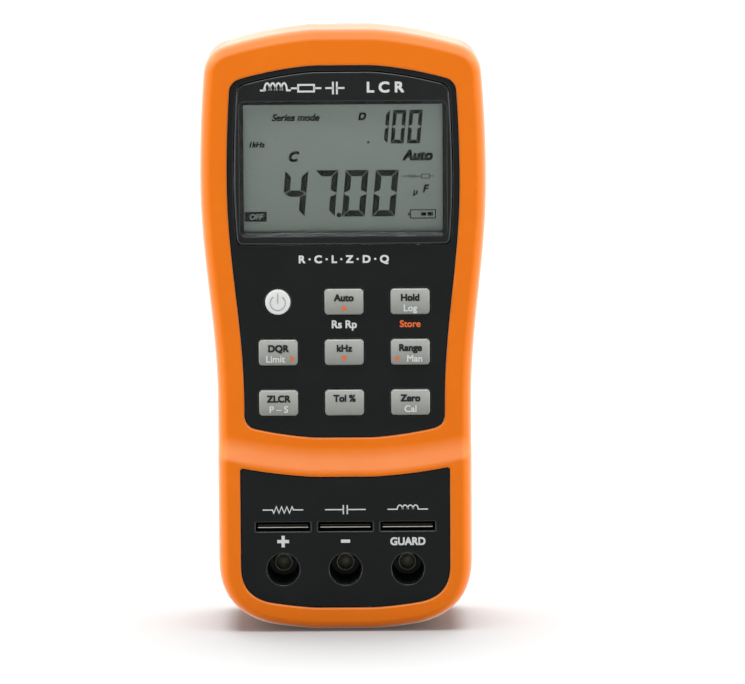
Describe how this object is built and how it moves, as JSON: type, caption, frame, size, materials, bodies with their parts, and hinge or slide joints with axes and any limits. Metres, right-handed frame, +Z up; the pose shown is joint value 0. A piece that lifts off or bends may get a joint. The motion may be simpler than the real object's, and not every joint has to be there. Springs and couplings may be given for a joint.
{
  "type": "lcr meter",
  "caption": "Handheld component meter with a display, a keypad, input slots and jacks, a fold-out stand and a battery door.",
  "frame": {"origin": "middle of the footprint, on the surface that the meter stands on at its lower end", "axes": "+Z up along the meter towards the display end, +Y out of the back, -Y out of the front face, +X to the right as the front is read"},
  "size_m": [0.0868, 0.041, 0.184],
  "materials": {
    "soft_orange": "matt soft-touch",
    "black_case": "fine texture",
    "gloss_black": "satin gloss",
    "clear_window": "clear, polished",
    "lcd": "grey-green display",
    "white_plastic": "matt",
    "key_grey": "satin",
    "key_white": "satin",
    "rubber_black": "matt",
    "circuit_board": "solder mask",
    "component_black": "moulded",
    "crystal_can": "bright",
    "nickel": "nickel plate",
    "screw_steel": "zinc plate",
    "infrared_black": "polished",
    "battery_wrap": "printed sleeve",
    "lead_red": "insulated wire",
    "lead_black": "insulated wire",
    "label": "printed foil"
  },
  "bodies": {
    "meter": {"front_overmould": "soft_orange", "rear_overmould": "soft_orange", "front_case": "black_case", "terminal_block": "black_case", "rear_case": "black_case", "display_bezel": "gloss_black", "display_window": "clear_window", "lcd_panel": "lcd", "backlight_panel": "white_plastic", "lcd_holder": "white_plastic", "keypad_mat": "rubber_black", "zebra_strip_upper": "rubber_black", "zebra_strip_lower": "rubber_black", "battery_snap": "rubber_black", "main_board": "circuit_board", "controller_chip": "component_black", "converter_chip": "component_black", "input_relay": "component_black", "reservoir_capacitor": "component_black", "buzzer": "component_black", "infrared_emitter": "component_black", "infrared_receiver": "component_black", "power_socket": "component_black", "crystal": "crystal_can", "jack_positive": "nickel", "jack_negative": "nickel", "jack_guard": "nickel", "slot_contact_positive": "nickel", "slot_contact_negative": "nickel", "slot_contact_guard": "nickel", "case_screw_upper_left": "screw_steel", "case_screw_upper_right": "screw_steel", "case_screw_lower_left": "screw_steel", "case_screw_lower_right": "screw_steel", "board_screw_upper_left": "screw_steel", "board_screw_upper_right": "screw_steel", "board_screw_lower_left": "screw_steel", "board_screw_lower_right": "screw_steel", "infrared_window": "infrared_black", "battery": "battery_wrap", "battery_lead_positive": "lead_red", "battery_lead_negative": "lead_black", "rear_label": "label"},
    "key_power": {"key_power": "key_white"},
    "key_auto": {"key_auto": "key_grey"},
    "key_hold": {"key_hold": "key_grey"},
    "key_phase": {"key_phase": "key_grey"},
    "key_frequency": {"key_frequency": "key_grey"},
    "key_range": {"key_range": "key_grey"},
    "key_mode": {"key_mode": "key_grey"},
    "key_tolerance": {"key_tolerance": "key_grey"},
    "key_zero": {"key_zero": "key_grey"},
    "stand": {"tilt_stand": "black_case", "stand_pad": "rubber_black"},
    "battery_door": {"battery_cover": "black_case", "cover_screw_lower": "screw_steel", "cover_screw_upper": "screw_steel"}
  },
  "joints": [
    {"name": "key_power_press", "type": "slide", "parent": "meter", "child": "key_power", "axis": [0, 1, 0], "range_m": [0, 0.001], "stiffness_N_per_m": 1000, "deforming": ["keypad_mat"]},
    {"name": "key_auto_press", "type": "slide", "parent": "meter", "child": "key_auto", "axis": [0, 1, 0], "range_m": [0, 0.001], "stiffness_N_per_m": 1000, "deforming": ["keypad_mat"]},
    {"name": "key_hold_press", "type": "slide", "parent": "meter", "child": "key_hold", "axis": [0, 1, 0], "range_m": [0, 0.001], "stiffness_N_per_m": 1000, "deforming": ["keypad_mat"]},
    {"name": "key_phase_press", "type": "slide", "parent": "meter", "child": "key_phase", "axis": [0, 1, 0], "range_m": [0, 0.001], "stiffness_N_per_m": 1000, "deforming": ["keypad_mat"]},
    {"name": "key_frequency_press", "type": "slide", "parent": "meter", "child": "key_frequency", "axis": [0, 1, 0], "range_m": [0, 0.001], "stiffness_N_per_m": 1000, "deforming": ["keypad_mat"]},
    {"name": "key_range_press", "type": "slide", "parent": "meter", "child": "key_range", "axis": [0, 1, 0], "range_m": [0, 0.001], "stiffness_N_per_m": 1000, "deforming": ["keypad_mat"]},
    {"name": "key_mode_press", "type": "slide", "parent": "meter", "child": "key_mode", "axis": [0, 1, 0], "range_m": [0, 0.001], "stiffness_N_per_m": 1000, "deforming": ["keypad_mat"]},
    {"name": "key_tolerance_press", "type": "slide", "parent": "meter", "child": "key_tolerance", "axis": [0, 1, 0], "range_m": [0, 0.001], "stiffness_N_per_m": 1000, "deforming": ["keypad_mat"]},
    {"name": "key_zero_press", "type": "slide", "parent": "meter", "child": "key_zero", "axis": [0, 1, 0], "range_m": [0, 0.001], "stiffness_N_per_m": 1000, "deforming": ["keypad_mat"]},
    {"name": "stand_hinge", "type": "hinge", "parent": "meter", "child": "stand", "pos_m": [0, 0.0182, 0.112], "axis": [1, 0, 0], "range_deg": [0, 38]},
    {"name": "battery_door_lift", "type": "slide", "parent": "meter", "child": "battery_door", "axis": [0, 1, 0], "range_m": [0, 0.012]}
  ]
}
